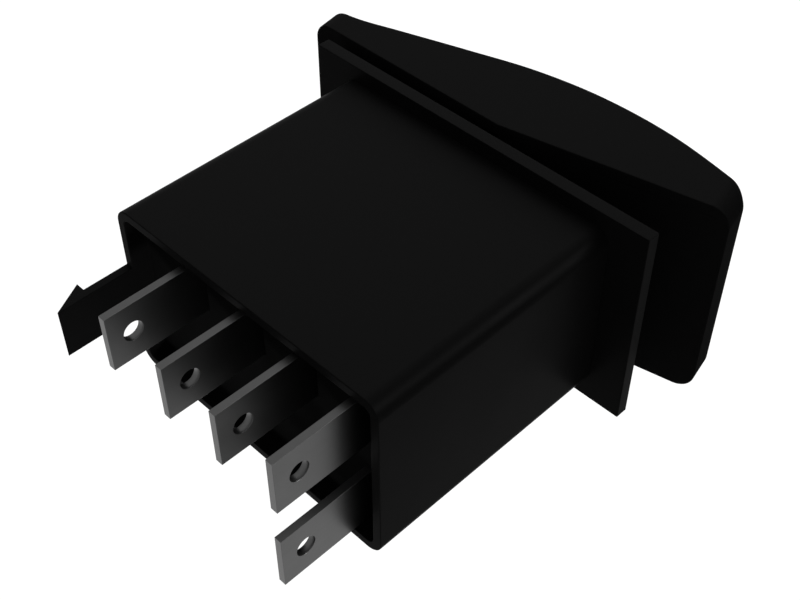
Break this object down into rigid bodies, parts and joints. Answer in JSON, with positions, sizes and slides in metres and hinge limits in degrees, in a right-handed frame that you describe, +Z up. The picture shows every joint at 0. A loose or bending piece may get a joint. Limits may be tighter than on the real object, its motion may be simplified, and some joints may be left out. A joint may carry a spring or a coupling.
{
  "type": "rocker switch",
  "caption": "Black rocker switch for a panel, with a thin flange, a convex two-position rocker, flat push-on tabs behind and a barbed latch arm for the connector.",
  "frame": {"origin": "middle of the flange's rear face, which lies on the front of the panel", "axes": "+Y from the user through the panel to the tabs, +X along the long side towards the latch arm, +Z up along the tabs' width, towards the row of tabs that is full"},
  "size_m": [0.0499, 0.0515, 0.024],
  "materials": {
    "case_plastic": "fine satin moulded nylon, black",
    "rocker_plastic": "fine satin moulded plastic, black",
    "carrier_plastic": "satin moulded plastic, black",
    "base_plastic": "satin moulded nylon, black",
    "tab_metal": "dull tin plating on stamped copper alloy",
    "contact_silver": "silver contact alloy",
    "seesaw_alloy": "stamped copper alloy, bright",
    "pin_steel": "ground steel pin",
    "spring_steel": "drawn steel wire",
    "plunger_nylon": "natural nylon",
    "lamp_glass": "clear tinted lamp body",
    "lead_wire": "tinned wire",
    "resistor_enamel": "enamelled body",
    "lens_plastic": "translucent amber plastic"
  },
  "bodies": {
    "switch": {"housing": "case_plastic", "terminal_base": "base_plastic", "terminal_throw_a": "tab_metal", "terminal_common": "tab_metal", "terminal_throw_b": "tab_metal", "terminal_lamp_feed": "tab_metal", "terminal_lamp_return": "tab_metal", "fixed_button_a": "contact_silver", "fixed_button_b": "contact_silver", "pivot_pin": "pin_steel", "lamp_body": "lamp_glass", "lamp_lead_feed": "lead_wire", "lamp_lead_return": "lead_wire", "resistor_body": "resistor_enamel", "resistor_lead": "lead_wire"},
    "rocker": {"rocker_cap": "rocker_plastic", "lens": "lens_plastic", "rocker_carrier": "carrier_plastic", "plunger_spring": "spring_steel"},
    "plunger": {"plunger": "plunger_nylon"},
    "seesaw": {"seesaw_contact": "seesaw_alloy", "moving_button_a": "contact_silver", "moving_button_b": "contact_silver"}
  },
  "joints": [
    {"name": "rocker_hinge", "type": "hinge", "parent": "switch", "child": "rocker", "pos_m": [0, -0.0031, 0], "axis": [0, 0, 1], "range_deg": [-12.24, 0]},
    {"name": "plunger_slide", "type": "slide", "parent": "rocker", "child": "plunger", "axis": [-0.1066, 0.9943, 0], "range_m": [-0.0012, 0], "stiffness_N_per_m": 400, "springref_m": 0.0012, "deforming": ["plunger_spring"]},
    {"name": "seesaw_hinge", "type": "hinge", "parent": "switch", "child": "seesaw", "pos_m": [0, 0.01142, 0.0052], "axis": [0, 0, 1], "range_deg": [0, 11]}
  ],
  "couplings": [
    {"joint": "seesaw_hinge", "follows": "rocker_hinge", "ratio": -0.8986}
  ]
}
